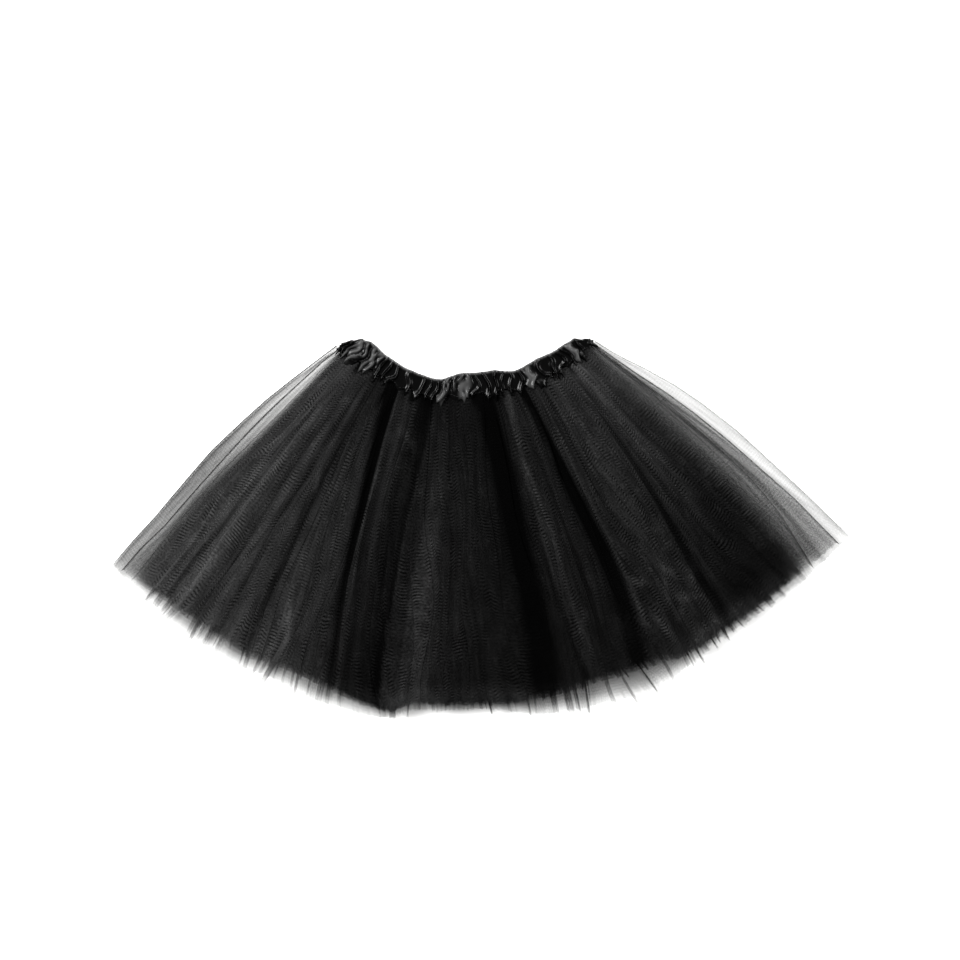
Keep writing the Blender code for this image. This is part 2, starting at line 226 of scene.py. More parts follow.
# Short crumples in the skirt: the middle of each, its half length and half width, how far its
# line turns from straight down the skirt, and how high it is against a ridge of depth -1.
Crumple = namedtuple("Crumple", "deg radius long wide turn rise")
CRUMPLES = (
    Crumple(31.3, 356.0, 10.0, 3.2, 28.0, 1.8),
    Crumple(29.9, 366.0, 12.0, 2.6, -22.0, 1.5),
    Crumple(31.6, 386.0, 11.0, 3.4, 50.0, 1.95),
    Crumple(30.0, 392.0, 9.0, 2.4, -48.0, 1.35),
    Crumple(26.6, 347.0, 9.0, 2.6, 42.0, 1.5),
    Crumple(25.4, 366.0, 16.0, 2.2, -6.0, 1.2),
    Crumple(27.2, 398.0, 20.0, 3.0, 14.0, 1.35),
    Crumple(34.0, 372.0, 14.0, 3.2, -40.0, 1.2),
    Crumple(17.6, 362.0, 9.0, 2.6, -35.0, 1.05),
    Crumple(-13.0, 196.0, 9.0, 3.0, 48.0, 1.8),
    Crumple(-17.6, 192.0, 8.0, 2.4, -45.0, 1.35),
    Crumple(-29.6, 262.0, 12.0, 2.8, 20.0, 1.05),
    Crumple(-23.4, 388.0, 22.0, 3.4, 16.0, 1.8),
    Crumple(-6.2, 348.0, 10.0, 3.0, 62.0, 1.35),
)

# A tuck is a flattened pleat where the net lies three deep. Where it lies is a fold's number,
# counted from 1 at the left, plus a share across it. Its widths are at the seam, half way and
# at the hem. Its lean is the side on which its top layer runs on into the panel (1 is the
# right), and its tip is how far its corner hangs below the hem.
Tuck = namedtuple("Tuck", "at seam mid hem lean tip")
MAIN_TUCKS = (
    Tuck(1.02, 2.0, 2.0, 2.0, 1, 5.0),
    Tuck(1.9, 1.5, 1.0, 1.0, -1, 8.0),
    Tuck(3.1, 3.0, 6.0, 3.0, 1, 6.0),
    Tuck(5.02, 3.0, 7.0, 2.0, -1, 9.0),
    Tuck(5.5, 5.0, 5.0, 4.0, 1, 9.0),
    Tuck(6.3, 4.0, 6.0, 2.0, -1, 10.0),
    Tuck(8.05, 6.0, 8.0, 5.0, 1, 3.0),
    Tuck(8.75, 3.0, 2.0, 1.4, 1, 7.0),
    Tuck(10.35, 3.0, 5.0, 1.2, 1, 6.0),
    Tuck(11.02, 8.0, 12.0, 14.0, -1, 0.0),
    Tuck(12.75, 4.0, 3.0, 1.6, 1, 8.0),
    Tuck(13.7, 5.0, 6.0, 1.6, -1, 9.0),
    Tuck(13.98, 2.0, 2.0, 1.4, 1, 5.0),
    Tuck(14.8, 2.0, 5.0, 1.4, 1, 9.0),
    Tuck(15.05, 2.5, 2.0, 1.4, -1, 10.0),
    Tuck(15.5, 2.5, 2.0, 1.4, 1, 6.0),
    Tuck(16.1, 2.5, 2.0, 1.4, -1, 7.0),
    Tuck(17.3, 2.0, 5.0, 6.0, -1, 2.0),
)
SMALL_TUCKS = 46  # more of them in each panel, wherever they fall
SMALL_TUCK_WIDTHS = ((0.8, 2.6), (0.6, 3.4), (0.6, 4.0))  # from and to, at seam, middle and hem
TUCKS_APART = 0.07  # of a fold's width
TUCK_LIFT = 0.36  # from one layer of a tuck to the next
TUCK_TURN = 0.35  # the radius of a tuck's two turns
FULL_TUCK = 3.0  # from this width on, a tuck lies at its full height
TUCK_SETTLES = 6.0  # over which the panel beside a tuck comes down from its top layer
# A tuck's six lines: how many layers up each one lies, and its share of the tip.
TUCK_LAYERS = np.array([0.0, 0.5, 1.0, 1.0, 1.5, 2.0])
TUCK_TIPS = np.array([0.3, 1.0, 0.7, 0.6, 0.9, 0.2])
BACK_TUCK_SHARE = 0.8  # how high the back's tucks are against the front's

# The hem is nearly straight on the left and ragged on the right: the folds' numbers between
# which it changes, how calm the straight part is, and from where to where a small tuck's tip is.
STRAIGHT_UP_TO, RAGGED_FROM = 5.0, 9.0
STRAIGHT_CALM = 0.45
STRAIGHT_TIPS, RAGGED_TIPS = (-8.0, 1.5), (-9.0, 5.0)
FEW_TIPS, FEW_TIPS_UP_TO = 0.55, 3.8  # the tips near the left side are shorter
TIP_SHARES = (1.0, 0.5, 0.2)  # of the outer, middle and inner ply
HEM_FREE = 0.8  # from this share of the way down, the net follows its uneven hem
WAVY, JAGGED, FRAYED = 2.0, 0.5, 0.6  # how far the hem's waves, small teeth and threads reach
# The cut edge frays, so only a part of the net is left at the very hem: this much on the whole,
# for a long thread and for each millimetre of a tip, and at least and at most.
LEFT_OVER, THREAD_LEFT_OVER, TIP_LEFT_OVER = 0.24, 0.08, 0.12
LONG_TIP = 4.0
LEAST_LEFT_OVER, MOST_LEFT_OVER = 0.08, 0.85
FRAYS_FROM = 0.955  # of the way down the skirt
# Beside the inner ply, where the net lies single, its edge is crisper: over how many degrees
# that comes in, and how much of the net is left there.
CRISP_OVER, CRISP_LEFT_OVER = 1.6, 0.75
HANGING_COVER = 0.3  # how much of it the thread covers where the outer ply hangs alone
HANGS_OVER = 6.0  # over how many millimetres it gets that thin

CREASE_COVER = 0.75  # how much of the gap to full cover a deep crease closes
GATHER_STREAKS = 0.45  # how much the net's fine gathers change how close it lies
FINE_GATHERS = 7.0  # how close they lie: radians of the longest wave in a degree
SIDE_COVER = 0.12  # keeps a little of a ply's cover at its very sides
SIDE_LINE_WIDTH, SIDE_FOLD_PAINTED_SHADING = 1.1, 0.6  # the width of the line that a side fold shows, and the painted shading at the fold itself
PACK_FROM, PACK_OVER = 0.1, 0.6  # down the skirt, where the gathers stop packing the net
CREASE_PAINTED_SHADE, RIDGE_PAINTED_LIGHT, RIPPLE_PAINTED_LIGHT_AND_SHADE = 0.98, 0.9, 0.18  # painted shade in creases, painted light on ridges, and painted light and shade on ripples: how much each changes the painted shading
# Near the hem the plies part and curl; the light that reaches in between them is painted in as painted light,
# less of it in creases.
HEM_PAINTED_LIGHT, HEM_PAINTED_LIGHT_CREASED = 0.55, 0.8
HEM_PAINTED_LIGHT_FROM, HEM_PAINTED_LIGHT_OVER = 0.9, 0.07

SETTLED = 0.12  # the way down the skirt after which creases and ripples have their full height
RIPPLE_RISE = 1.2
WIDE_RIPPLES, NARROW_RIPPLES = 0.9, 2.3  # how close they lie, as for the fine gathers
# How far the net's lines wander from side to side, how often on their way down, and how they
# change from fold to fold.
SWAYS = ((0.16, 5.0, 1.9), (0.07, 13.0, 4.1))
ROWS_DOWN = 48
ROWS_CLOSER = 1.25  # above 1, the rows lie closer towards the hem
SAMPLES_ACROSS_PANEL = 540
BACK_MIRROR = 1.0  # the angle about which the back's creases mirror the front's

# How the net lies from side to side: how much of each ply the thread covers, how much closer
# the gathers pack it at the seam, its painted light and shade at the seam and at the hem, how far
# the outer ply hangs loose below the others, and how much longer than the solid's its hem is.
Net = namedtuple("Net", "deg outer middle inner pack light_seam light_hem loose longer")
NET = (
    Net(-49.0, 0.47, 0.08, 0.15, 0.38, 1.0, 1.0, 1.5, 1.5),
    Net(-45.0, 0.33, 0.10, 0.16, 0.45, 1.1, 1.5, 3.5, 2.5),
    Net(-44.0, 0.32, 0.16, 0.38, 1.50, 1.3, 2.0, 6.0, 4.0),
    Net(-42.0, 0.36, 0.27, 0.50, 1.30, 1.6, 2.3, 7.5, 4.0),
    Net(-38.0, 0.34, 0.34, 0.58, 1.25, 1.4, 2.5, 13.0, 2.5),
    Net(-33.0, 0.34, 0.36, 0.62, 1.20, 0.75, 1.8, 14.0, 3.0),
    Net(-28.0, 0.36, 0.40, 0.66, 1.25, 0.3, 1.6, 10.5, 4.0),
    Net(-23.5, 0.42, 0.45, 0.70, 1.25, 0.42, 1.3, 12.0, 0.0),
    Net(-18.0, 0.50, 0.50, 0.75, 1.25, 0.5, 0.6, 16.0, 3.5),
    Net(-12.0, 0.58, 0.55, 0.80, 1.25, 0.3, 0.35, 9.0, 2.0),
    Net(-8.5, 0.60, 0.58, 0.80, 1.25, 0.26, 0.45, 5.0, 0.0),
    Net(-5.0, 0.60, 0.58, 0.80, 1.25, 0.12, 0.65, 4.0, -3.5),
    Net(4.0, 0.60, 0.58, 0.80, 1.25, 0.16, 0.3, 3.0, -2.5),
    Net(10.0, 0.60, 0.58, 0.80, 1.25, 0.12, 0.12, 15.5, 2.0),
    Net(17.0, 0.56, 0.56, 0.80, 1.25, 0.38, 0.28, 22.0, 0.5),
    Net(22.0, 0.50, 0.56, 0.80, 1.25, 0.4, 0.28, 25.0, 0.5),
    Net(25.0, 0.50, 0.56, 0.80, 1.25, 0.5, 0.33, 23.0, 0.0),
    Net(27.5, 0.55, 0.58, 0.80, 1.25, 0.48, 0.38, 9.0, -3.0),
    Net(32.0, 0.58, 0.56, 0.80, 1.25, 0.7, 0.4, 2.0, -4.0),
    Net(38.0, 0.55, 0.52, 0.80, 1.2, 0.95, 0.1, 3.0, 0.0),
    Net(43.0, 0.40, 0.45, 0.72, 1.15, 1.3, 0.24, 4.0, 1.0),
    Net(46.0, 0.26, 0.33, 0.43, 1.15, 1.4, 0.6, 6.0, 1.5),
    Net(49.0, 0.17, 0.26, 0.36, 1.05, 1.4, 0.9, 4.0, 1.5),
    Net(55.0, 0.168, 0.21, 0.34, 0.97, 1.0, 1.0, 3.0, 1.0),
)


def mix(a, b, share):
    return a + (b - a) * share


def ease(share):
    """0 to 1 with level ends."""
    share = np.clip(share, 0.0, 1.0)
    return share * share * (3.0 - 2.0 * share)


def bend(seam, mid, hem, down):
    """A curve through its values at the seam, half way and the hem."""
    return seam * (1 - down) * (1 - 2 * down) + mid * 4 * down * (1 - down) + hem * down * (2 * down - 1)


def flat_bell(away, height, power):
    """A bell with its top cut off level at 1."""
    return np.minimum(1.0, height * np.exp(-(np.abs(away) ** power)))


def read_table(rows, place, value, at):
    """The value column at places between a table's rows, eased from row to row."""
    places = np.array([getattr(row, place) for row in rows])
    values = np.array([getattr(row, value) for row in rows])
    at = np.clip(at, places[0], places[-1])
    low = np.clip(np.searchsorted(places, at, "right") - 1, 0, len(rows) - 2)
    share = (at - places[low]) / (places[low + 1] - places[low])
    return mix(values[low], values[low + 1], ease(share))


def band_top(deg):
    """How far from the apex the band's top edge is."""
    return read_table(BAND_EDGES, "deg", "top", deg)


def band_bottom(deg):
    """How far from the apex the band's bottom edge is, where the skirt starts."""
    return read_table(BAND_EDGES, "deg", "bottom", deg)


SEAM_RADIUS = float(band_bottom(0.0))
SKIRT_LENGTH = SKIRT_RADIUS - SEAM_RADIUS


def fan_points(deg, radius, height):
    """Points of the fan, in metres."""
    turn = np.radians(deg)
    x = APEX_X + radius * np.sin(turn)
    y = APEX_Y - radius * np.cos(turn)
    return np.stack([x, y, np.broadcast_to(height, x.shape)], axis=-1) * MM


def side_angles(ply, down):
    """Where a ply's side folds lie at a share of the way down the skirt."""
    radii = [row.radius for row in SIDES]
    columns = [ply.name.split("_")[1] + side for side in ("_left", "_right")]
    return [
        float(np.interp(row_radius(down), radii, [getattr(row, column) for row in SIDES]))
        for column in columns
    ]


def hem_radius(deg):
    """How far from the apex the solids' hem is."""
    left, right = side_angles(PLIES[0], 1.0)
    rows = [
        FIRST_VALLEY._replace(hem_deg=left, hem=HEM_AT_SIDES[0]),
        FIRST_VALLEY,
        *FOLDS,
        FOLDS[-1]._replace(hem_deg=right, hem=HEM_AT_SIDES[1]),
    ]
    return read_table(rows, "hem_deg", "hem", deg)


def row_radius(down):
    """How far from the apex a row is, at a share of the way down a plain stretch of skirt."""
    return mix(SEAM_RADIUS, SKIRT_RADIUS, down)


def valley_line(ply, down):
    """Angles of a ply's left side, every valley and its right side, at one row."""
    left, right = side_angles(ply, down)
    valleys = [mix(fold.seam_deg, fold.hem_deg, down) for fold in (FIRST_VALLEY, *FOLDS)]
    return np.array([left, *valleys, right])


def fold_height(deg, down):
    """How high the front's large folds stand at one row."""
    valleys = np.array([mix(f.seam_deg, f.hem_deg, down) for f in (FIRST_VALLEY, *FOLDS)])
    index = np.clip(np.searchsorted(valleys, deg, "right") - 1, 0, len(FOLDS) - 1)
    left, right = valleys[index], valleys[index + 1]
    share = np.clip((deg - left) / (right - left), 0.0, 1.0)
    top = np.array([fold.top for fold in FOLDS])[index]
    # Skews the share so that the crest falls where the fold's top is.
    share = np.where(share < top, 0.5 * share / top, 0.5 + 0.5 * (share - top) / (1 - top))
    growth = mix(np.array([f.at_seam for f in FOLDS])[index], 1.0, ease(down / FOLD_RUN))
    rise = np.array([f.rise for f in FOLDS])[index] * np.radians(right - left) * row_radius(down)
    return rise * growth * np.sin(np.pi * share) ** CREST_ROUND


def crease_field(deg, down, creases):
    """How deep the net lies in creases, up to 1, and how far it stands up in ridges."""
    deep, raised = np.zeros_like(deg), np.zeros_like(deg)
    for crease in creases:
        middle = bend(crease.seam, crease.mid, crease.hem, down)
        middle += CREASE_SWAY * math.sin(CREASE_BENDS * down + 3 * crease.seam)
        wide = bend(crease.wide_seam, crease.wide_mid, crease.wide_hem, down)
        depth = bend(crease.deep_seam, crease.deep_mid, crease.deep_hem, down)
        away = (deg - middle) / max(wide, NARROWEST)
        away = np.where(away * crease.sharp > 0, away * SHARP, away)
        # A crease has a level floor and steep sides.
        shape = depth * flat_bell(away, 1.45, 3)
        deep = 1 - (1 - deep) * (1 - np.clip(shape, 0, 1))
        raised = raised + np.clip(-shape, 0, None)
    return deep, raised


def crumple_field(deg, radius):
    """How far the short crumples stand up."""
    raised = np.zeros_like(deg)
    for crumple in CRUMPLES:
        x = np.radians(deg - crumple.deg) * crumple.radius
        y = radius - crumple.radius
        turn = math.radians(crumple.turn)
        along = x * math.sin(turn) + y * math.cos(turn)
        across = x * math.cos(turn) - y * math.sin(turn)
        raised += crumple.rise * np.exp(-((along / crumple.long) ** 2) - (across / crumple.wide) ** 2)
    return raised


def dip_field(deg, below):
    """How deep the net lies in the dips at a distance below the casing."""
    deep = np.zeros_like(deg)
    for dip in DIPS:
        shape = flat_bell((deg - dip.deg) / dip.wide, 1.6, 2)
        deep = np.maximum(deep, shape * (1 - ease((below / dip.long - DIP_KEEPS) / DIP_FADES)))
    return deep


def plies_between(index, deg, down):
    """How many plies lie inside ply index at these angles, rising smoothly before each."""
    inside = np.zeros_like(deg)
    turn = math.degrees(SIDE_FOLD_RADIUS / row_radius(down))
    for step, (outer, inner) in enumerate(zip(PLIES[index:], PLIES[index + 1 :])):
        outer_left, outer_right = side_angles(outer, down)
        inner_left, inner_right = side_angles(inner, down)
        outer_left += turn
        outer_right -= turn
        share = np.minimum(
            (deg - outer_left) / (inner_left - outer_left),
            (outer_right - deg) / (outer_right - inner_right),
        )
        inside += np.sin(np.clip(share * (1.0 + SOONER * step), 0.0, 1.0) * np.pi / 2)
    return inside


def wander(at, seeds, scale):
    """A smooth uneven line: a few sines, each shorter and lower than the one before."""
    total = np.zeros_like(at)
    for i, seed in enumerate(seeds):
        total += np.sin(at * scale * (1.0 + 0.73 * i) + seed) / (1.0 + 0.5 * i)
    return total / len(seeds)


def panel_tucks(rng, main):
    """The tucks of one panel, from left to right: the main ones and the small ones between."""
    tucks = list(main)
    for at in rng.uniform(1.3, len(FOLDS) + 0.8, SMALL_TUCKS):
        if min(abs(at - tuck.at) for tuck in tucks) < TUCKS_APART:
            continue
        seam, mid, hem = (rng.uniform(*limits) for limits in SMALL_TUCK_WIDTHS)
        # A tip below 0 is none, so most small tucks end level with the hem.
        tip = max(0.0, rng.uniform(*(RAGGED_TIPS if at > RAGGED_FROM else STRAIGHT_TIPS)))
        tucks.append(Tuck(at, seam, mid, hem, int(rng.choice((-1, 1))), tip))
    return sorted(tucks)


def panel_row(ply, tucks, down):
    """One row across a panel from left to right: places, angles, lifts and tip lengths."""
    valleys = valley_line(ply, down)
    grid = np.arange(len(valleys), dtype=float)
    hem_valleys = valley_line(ply, 1.0)
    even = np.linspace(hem_valleys[0], hem_valleys[-1], SAMPLES_ACROSS_PANEL)
    base_at = np.interp(even, hem_valleys, grid)
    to_deg = math.degrees(1.0 / row_radius(down))
    # Every line but the panel's sides wanders a little from side to side on its way down.
    ends = np.minimum(1.0, np.minimum(base_at, grid[-1] - base_at))
    sway = sum(far * np.sin(often * down + fold * base_at) for far, often, fold in SWAYS)
    base_deg = np.interp(base_at + ends * sway, grid, valleys)
    lift, tips = np.zeros_like(base_deg), np.zeros_like(base_deg)
    order, degs, lifts, tip_parts = [base_at], [base_deg], [lift], [tips]
    for tuck in tucks:
        width = mix(mix(tuck.seam, tuck.mid, ease(down * 2)), tuck.hem, ease(down * 2 - 1))
        width = max(width, 2 * TUCK_TURN) * to_deg
        turn = TUCK_TURN * to_deg
        layer = TUCK_LIFT * float(ease(width / to_deg / FULL_TUCK))
        middle = np.interp(tuck.at, base_at, base_deg)
        # Beside the tuck, the layer that lies on top comes down to the panel.
        away = (base_deg - middle) * tuck.lean - width / 2
        on_top = (base_at - tuck.at) * tuck.lean > 0
        lift += np.where(on_top, 2 * layer * (1 - ease(away / (TUCK_SETTLES * to_deg))), 0.0)
        half = width / 2
        lines = np.array([half - turn, half, half - turn, turn - half, -half, turn - half])
        degs.append(middle + lines)
        lifts.append((layer * TUCK_LAYERS)[:: tuck.lean])
        # The lines share one place, so a tiny step each keeps them in order.
        order.append(np.full(6, tuck.at) + np.arange(6) * 1e-7)
        tip_parts.append(np.full(6, tuck.tip) * TUCK_TIPS)
    sort = np.argsort(np.concatenate(order), kind="stable")
    return [np.concatenate(part)[sort] for part in (order, degs, lifts, tip_parts)]


def panel_height(index, down, deg, lift, deep, raised, ripple, is_front):
    """How high the points of one row of a panel lie."""
    pitch = mix(PITCH_AT_SEAM, PITCH_AT_HEM, float(ease(down * PITCH_GROWTH)))
    height = fold_height(deg, down)
    floor = TULLE_WALL / 2 + index * pitch
    if not is_front:
        relief = height * BACK_FOLD_SHARE + lift * BACK_TUCK_SHARE
        return floor + np.maximum(relief, 0.0)
    z = floor + 2 * SIDE_FOLD_RADIUS + 2 * pitch * plies_between(index, deg, down)
    settled = float(ease(down / SETTLED))
    crumpled = raised * RIDGE_RISE - deep * CREASE_DROP + ripple * RIPPLE_RISE
    return z + np.maximum(height + lift + settled * crumpled, DEEPEST)


def net_cover(index, down, deg, deep, seeds):
    """How much of one row of a panel the thread covers, before its hem frays."""
    ply = PLIES[index]
    left, right = side_angles(ply, down)
    cover = read_table(NET, "deg", ("outer", "middle", "inner")[index], deg)
    # The gathers pack the net closer towards the seam.
    unpacked = float(ease((down - PACK_FROM) / PACK_OVER))
    cover = cover * mix(read_table(NET, "deg", "pack", deg), 1.0, unpacked)
    # Fine lengthwise gathers, which show where the net is seen through.
    cover = cover * (1 + GATHER_STREAKS * wander(deg + 1.5 * down, seeds, FINE_GATHERS))
    cover = mix(cover, 1.0, CREASE_COVER * deep)
    # The ply thins out towards its side folds, which show as thin lines themselves.
    thin = np.minimum((deg - left) / ply.left_thin, (right - deg) / ply.right_thin)
    cover = cover * ease(SIDE_COVER + thin)
    to_mm = row_radius(down) * math.pi / 180
    for beside, line in ((deg - left, ply.left_line), (right - deg, ply.right_line)):
        cover = np.maximum(cover, line * np.exp(-((beside * to_mm / SIDE_LINE_WIDTH) ** 2)))
    if index == 0:
        # The outer ply thins out where it hangs below the others.
        loose = read_table(NET, "deg", "loose", deg)
        hangs = ease((down * SKIRT_LENGTH - (SKIRT_LENGTH - loose - HANGS_OVER)) / HANGS_OVER)
        thinned = mix(cover, HANGING_COVER, hangs * ease(loose / HANGS_OVER))
        cover = np.minimum(cover, thinned)
    return cover


def net_painted_shading(down, deg, deep, raised, ripple):
    """Painted light and shade of the net in one row of a panel: how light it looks, darker in creases and
    dips, lighter on ridges and near the hem.
    """
    at_seam, at_hem = (read_table(NET, "deg", "light_" + end, deg) for end in ("seam", "hem"))
    tone = mix(at_seam, at_hem, down)
    tone = tone * (1 - CREASE_PAINTED_SHADE * deep) * (1 + RIDGE_PAINTED_LIGHT * raised) * (1 + RIPPLE_PAINTED_LIGHT_AND_SHADE * ripple)
    near_hem = float(ease((down - HEM_PAINTED_LIGHT_FROM) / HEM_PAINTED_LIGHT_OVER))
    return tone + HEM_PAINTED_LIGHT * (1 - HEM_PAINTED_LIGHT_CREASED * deep) * near_hem


def hem_edge(index, down, at, deg, tips, seeds):
    """How far a panel's hem hangs below the solids', and how much of the net its fray leaves."""
    ply = PLIES[index]
    tips = tips * TIP_SHARES[index] * mix(FEW_TIPS, 1.0, ease(at - FEW_TIPS_UP_TO))
    ragged = ease((at - STRAIGHT_UP_TO) / (RAGGED_FROM - STRAIGHT_UP_TO))
    calm = STRAIGHT_CALM + (1 - STRAIGHT_CALM) * ragged
    teeth = seeds[::-1]
    jag = (wander(at, seeds, 2.6) * WAVY + wander(at, teeth, 11.0) * JAGGED) * calm + tips
    frays = np.random.default_rng(int(seeds[0] * 1000)).normal(0, 1, len(at))
    jag = jag + FRAYED * calm * frays * (1 + wander(at, teeth, 7.0))
    loose = read_table(NET, "deg", "loose", deg)
    short = ply.short + ply.loose * loose - read_table(NET, "deg", "longer", deg)
    left_over = LEFT_OVER + THREAD_LEFT_OVER * calm * frays + TIP_LEFT_OVER * np.minimum(tips, LONG_TIP)
    left_over = np.clip(left_over, LEAST_LEFT_OVER, MOST_LEFT_OVER)
    inner_left, inner_right = side_angles(PLIES[-1], down)
    crisp = ease(np.maximum(inner_left - deg, deg - inner_right) / CRISP_OVER)
    left_over = mix(left_over, CRISP_LEFT_OVER, crisp)
    near_hem = float(ease((down - FRAYS_FROM) / (1 - FRAYS_FROM)))
    return jag - short, mix(1.0, left_over, near_hem)


def ply_panel(index, down, tucks, creases, seeds, is_front):
    """One row of one panel of a ply: its points' angle, height, hem drop, cover and painted light and shade.
    """
    left, right = side_angles(PLIES[index], down)
    turn = math.degrees(SIDE_FOLD_RADIUS / row_radius(down))
    at, deg, lift, tips = panel_row(PLIES[index], tucks, down)
    # The panel ends where the side folds start to turn.
    squeeze = (right - left - 2 * turn) / (right - left)
    deg = (left + right) / 2 + (deg - (left + right) / 2) * squeeze
    deep, raised = crease_field(deg, down, creases)
    if is_front:
        deep = np.maximum(deep, dip_field(deg, down * SKIRT_LENGTH))
        raised = raised + crumple_field(deg, row_radius(down))
    ripple = wander(deg + 6 * down, seeds, WIDE_RIPPLES) + 0.5 * wander(deg - 4 * down, seeds, NARROW_RIPPLES)
    z = panel_height(index, down, deg, lift, deep, raised, ripple, is_front)
    drop, left_over = hem_edge(index, down, at, deg, tips, seeds)
    cover = net_cover(index, down, deg, deep, seeds) * left_over
    tone = net_painted_shading(down, deg, deep, raised, ripple)
    return [deg, z, drop, np.clip(cover, 0, 0.97), np.clip(tone, 0.01, 4)]


def tulle_ply(index, rng):
    """One ply of tulle as an open tube of net, folded flat, with its tucks, and its hem's length."""
    ply = PLIES[index]
    back_creases = [
        row._replace(**{end: 2 * BACK_MIRROR - getattr(row, end) for end in ("seam", "mid", "hem")})
        for row in CREASES
    ]
    panels = (
        (panel_tucks(rng, MAIN_TUCKS), CREASES, rng.uniform(0, 6.28, 5), True),
        (panel_tucks(rng, MAIN_TUCKS[::2]), back_creases, rng.uniform(0, 6.28, 5), False),
    )
    downs = 1.0 - (1.0 - np.linspace(0.0, 1.0, ROWS_DOWN)) ** ROWS_CLOSER
    rows, covers, painted_shadings = [], [], []
    for down in downs:
        front, back = (ply_panel(index, down, *panel) for panel in panels)
        left, right = side_angles(ply, down)
        tip_height = front[1][0] * 0.5 + back[1][0] * 0.5
        right_tip = (right, tip_height, 0.0, ply.right_line, SIDE_FOLD_PAINTED_SHADING)
        left_tip = (left, tip_height, 0.0, ply.left_line, SIDE_FOLD_PAINTED_SHADING)
        deg, z, drop, cover, tone = (
            np.concatenate([on_front, [at_right], on_back[::-1], [at_left]])
            for on_front, at_right, on_back, at_left in zip(front, right_tip, back, left_tip)
        )
        # At the seam the plies are pressed together inside the band.
        z = mix(BAND_MIDDLE, z, mix(PRESSED, 1.0, float(ease(down / PRESSED_OVER))))
        seam = band_bottom(deg) - TUCKED_IN
        hem = hem_radius(deg) + drop * ease((down - HEM_FREE) / (1 - HEM_FREE))
        rows.append(fan_points(deg, mix(seam, hem, down), z))
        covers.append(cover)
        painted_shadings.append(tone)
    # The net's own width is measured along the hem, the last of the rows.
    across = np.radians(deg) * SKIRT_RADIUS
    step = np.hypot(np.diff(across, append=across[0]), np.diff(z, append=z[0]))
    cloth = np.concatenate([[0.0], np.cumsum(step)])
    obj = tube_object(ply.name + "_net", rows, cloth, SKIRT_LENGTH * downs)
    paint(obj, "cover", covers)
    paint(obj, "tone", painted_shadings)
    return obj, cloth[-1]


def tube_object(name, rows, around, along):
    """A mesh object from closed rows of points, with the cloth's own sizes as its UV map."""
    count = len(rows[0])
    points = np.concatenate(rows)
    upper = np.arange(len(rows) - 1)[:, None] * count
    i = np.arange(count)[None, :]
    j = (i + 1) % count
    quads = np.stack([upper + i, upper + count + i, upper + count + j, upper + j], axis=-1)
    mesh = bpy.data.meshes.new(name)
    mesh.from_pydata(points.tolist(), [], quads.reshape(-1, 4).tolist())
    uv = mesh.uv_layers.new(name="cloth")
    u = np.stack([around[:-1], around[:-1], around[1:], around[1:]], axis=-1)[None, :, :]
    u = np.broadcast_to(u, (len(rows) - 1, count, 4))
    v_top, v_low = along[:-1, None, None], along[1:, None, None]
    v = np.broadcast_to(np.concatenate([v_top, v_low, v_low, v_top], axis=-1), u.shape)
    uv.data.foreach_set("uv", (np.stack([u, v], axis=-1) * MM).reshape(-1).astype(np.float32))
    mesh.polygons.foreach_set("use_smooth", np.ones(len(mesh.polygons), bool))
    obj = bpy.data.objects.new(name, mesh)
    bpy.context.scene.collection.objects.link(obj)
    return obj


def paint(obj, name, rows):
    """One value at each point of a mesh, for its material to read."""
    attribute = obj.data.attributes.new(name, "FLOAT", "POINT")
    attribute.data.foreach_set("value", np.concatenate(rows).astype(np.float32))


# ---------------------------------------------------------------- the waistband

GATHER_WIDTHS = (7.0, 10.6, 8.2, 6.4, 11.4, 7.8, 9.0)
Patch = namedtuple("Patch", "deg width")
SMOOTH_PATCHES = (
    Patch(-42.0, 8.0),
    Patch(-38.6, 7.0),
    Patch(-34.3, 15.0),
    Patch(-4.2, 10.0),
    Patch(1.4, 15.0),
    Patch(26.7, 10.0),
    Patch(43.2, 9.0),
)
NEAR_PATCH = 3.0  # a gather that ends this near to a patch ends right at it
BUNCHED_LEFT, BUNCHED_WIDTH = -40.0, 3.4  # left of this angle the gathers are bunched up
BAND_RADIUS = float(band_top(0.0) + band_bottom(0.0)) / 2
BAND_HEIGHT = 20.0
SEAM_PLACE = 0.86  # how far down the casing it is sewn to the net
BAND_STATIONS = 760
STATION_CLOTH = 0.31  # how much satin lies between two stations
TOP_RIM, LOW_RIM = 0.22, 0.14  # how much of the casing rounds over at each edge
RIM_DEPTH, TOP_EDGE_HIGH = -0.3, 0.9  # how far the edges lie out from the wall's middle
GATHER_DEPTH = 2.8
GATHER_STANDS = 1.2  # how far the highest gathers stand above the casing
# How far the gathers slant (more so where they are bunched) and hook round at their lower ends.
SLANT, BUNCHED_SLANT = 2.6, 1.2
HOOK, HOOK_VARIES = 3.0, 4.0
SHARP_GATHER, ROUND_GATHER = 0.28, 2.6  # the shapes of a pinched and of a smooth gather
PINCHED_DENT, SMOOTH_DENT, FINE_DENT = 0.03, 0.31, 0.012  # how dented each of them is
# The high gathers draw the top edge up and push the lower edge down, which puckers too.
TOP_DRAWN, LOW_PUSHED, LOW_OUT, LOW_PUCKER = 1.8, 10.0, 0.5, 1.8
MEAN_STANDS = 0.3  # how high the gathers stand on the whole, from 0 to 1
INNER_INSET = 0.6  # how far inside its wall the casing's inner side lies
EDGE_PAINTED_HIGHLIGHT, EDGE_LINE = 0.9, 0.05  # how pale the painted highlight along the top edge is, and its width
PUFF_PAINTED_SHEEN = 0.3  # how pale the painted sheen on the smooth puffs is


